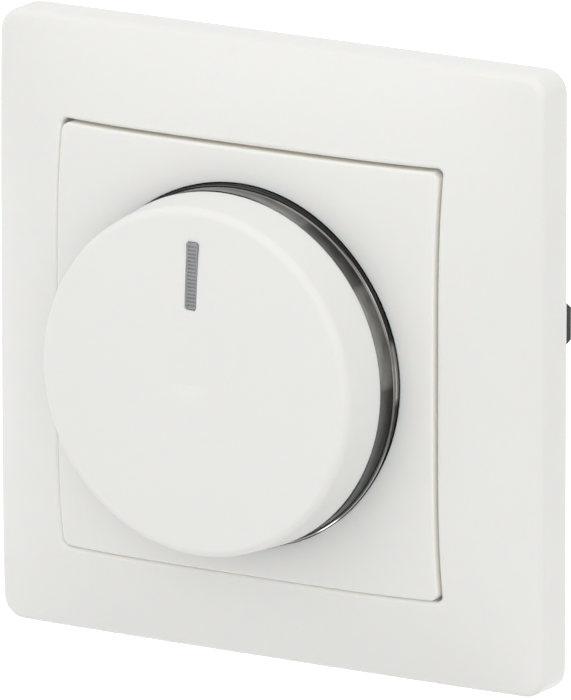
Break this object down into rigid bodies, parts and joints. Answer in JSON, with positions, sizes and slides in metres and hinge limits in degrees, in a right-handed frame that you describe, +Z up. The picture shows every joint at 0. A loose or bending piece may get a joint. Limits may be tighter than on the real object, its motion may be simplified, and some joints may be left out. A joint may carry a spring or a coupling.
{
  "type": "rotary dimmer switch",
  "caption": "Flush wall dimmer with a square pillow-shaped cover frame, a square centre plate and a large push-and-turn round knob on a bright ring.",
  "frame": {"origin": "middle of the wall plane, half way between the two slots for the wall box's screws", "axes": "+X to the right of someone facing the dimmer, +Y into the wall, +Z up"},
  "size_m": [0.08, 0.053, 0.08],
  "materials": {
    "white_gloss": "glossy white moulding",
    "white_knob": "satin white moulding",
    "chrome_plating": "bright plating on a moulding",
    "grey_lens": "smoke-grey light guide",
    "spring_steel": "bright spring steel",
    "turned_steel": "turned steel",
    "plated_brass": "tin-plated brass",
    "zinc_steel": "zinc-plated steel",
    "dark_steel": "dark phosphated steel",
    "black_moulding": "black moulding",
    "grey_moulding": "fine-grained grey moulding",
    "natural_moulding": "natural acetal",
    "board_laminate": "green lacquered laminate",
    "bare_aluminium": "rolled aluminium",
    "ferrite": "sintered ferrite",
    "enamelled_wire": "enamelled copper",
    "blue_moulding": "cast resin",
    "fuse_glass": "clear glass with metal caps",
    "clear_lens": "clear resin",
    "clamp_brass": "machined brass"
  },
  "bodies": {
    "insert": {"cover_frame": "white_gloss", "centre_plate": "white_gloss", "threaded_bush": "plated_brass", "fixing_nut": "plated_brass", "nut_washer": "zinc_steel", "control_body": "black_moulding", "return_spring": "spring_steel", "push_switch": "black_moulding", "support_plate": "zinc_steel", "front_cover": "grey_moulding", "rear_housing": "grey_moulding", "housing_screws": "zinc_steel", "claw_pins": "turned_steel", "circuit_board": "board_laminate", "heat_sink": "bare_aluminium", "transistor_left": "black_moulding", "transistor_right": "black_moulding", "transistor_screws": "zinc_steel", "choke_core": "ferrite", "choke_winding": "enamelled_wire", "film_capacitor": "blue_moulding", "electrolytic_capacitor": "black_moulding", "glass_fuse": "fuse_glass", "fuse_clip_1": "plated_brass", "fuse_clip_2": "plated_brass", "indicator_led": "clear_lens", "terminal_clamp_1": "clamp_brass", "terminal_clamp_2": "clamp_brass", "terminal_clamp_3": "clamp_brass", "terminal_screws": "zinc_steel"},
    "rotor": {"wiper_rotor": "natural_moulding"},
    "knob": {"rotary_knob": "white_knob", "chrome_ring": "chrome_plating", "indicator_lens": "grey_lens", "hub_spring": "spring_steel", "shaft": "turned_steel", "shaft_clip": "spring_steel"},
    "plunger": {"switch_plunger": "natural_moulding"},
    "left_claw": {"claw_left": "dark_steel"},
    "right_claw": {"claw_right": "dark_steel"},
    "left_claw_screw": {"claw_screw_left": "zinc_steel"},
    "right_claw_screw": {"claw_screw_right": "zinc_steel"}
  },
  "joints": [
    {"name": "knob_turn", "type": "hinge", "parent": "insert", "child": "rotor", "pos_m": [0, 0, 0], "axis": [0, 1, 0], "range_deg": [-135, 135]},
    {"name": "knob_push", "type": "slide", "parent": "rotor", "child": "knob", "axis": [0, 1, 0], "range_m": [0, 0.0012], "stiffness_N_per_m": 800, "deforming": ["return_spring"]},
    {"name": "plunger_push", "type": "slide", "parent": "insert", "child": "plunger", "axis": [0, 1, 0], "range_m": [0, 0.0016]},
    {"name": "left_claw_screw_turn", "type": "hinge", "parent": "insert", "child": "left_claw_screw", "pos_m": [-0.0246, 0, 0], "axis": [0, 1, 0], "range_deg": [-90, 810]},
    {"name": "left_claw_swing", "type": "hinge", "parent": "insert", "child": "left_claw", "pos_m": [-0.021, 0.0032, 0], "axis": [0, 0, 1], "range_deg": [0, 20]},
    {"name": "right_claw_screw_turn", "type": "hinge", "parent": "insert", "child": "right_claw_screw", "pos_m": [0.0246, 0, 0], "axis": [0, 1, 0], "range_deg": [-90, 810]},
    {"name": "right_claw_swing", "type": "hinge", "parent": "insert", "child": "right_claw", "pos_m": [0.021, 0.0032, 0], "axis": [0, 0, -1], "range_deg": [0, 20]}
  ],
  "couplings": [
    {"joint": "plunger_push", "follows": "knob_push", "ratio": 1},
    {"joint": "left_claw_screw_turn", "follows": "left_claw_swing", "ratio": 36},
    {"joint": "right_claw_screw_turn", "follows": "right_claw_swing", "ratio": 36}
  ]
}
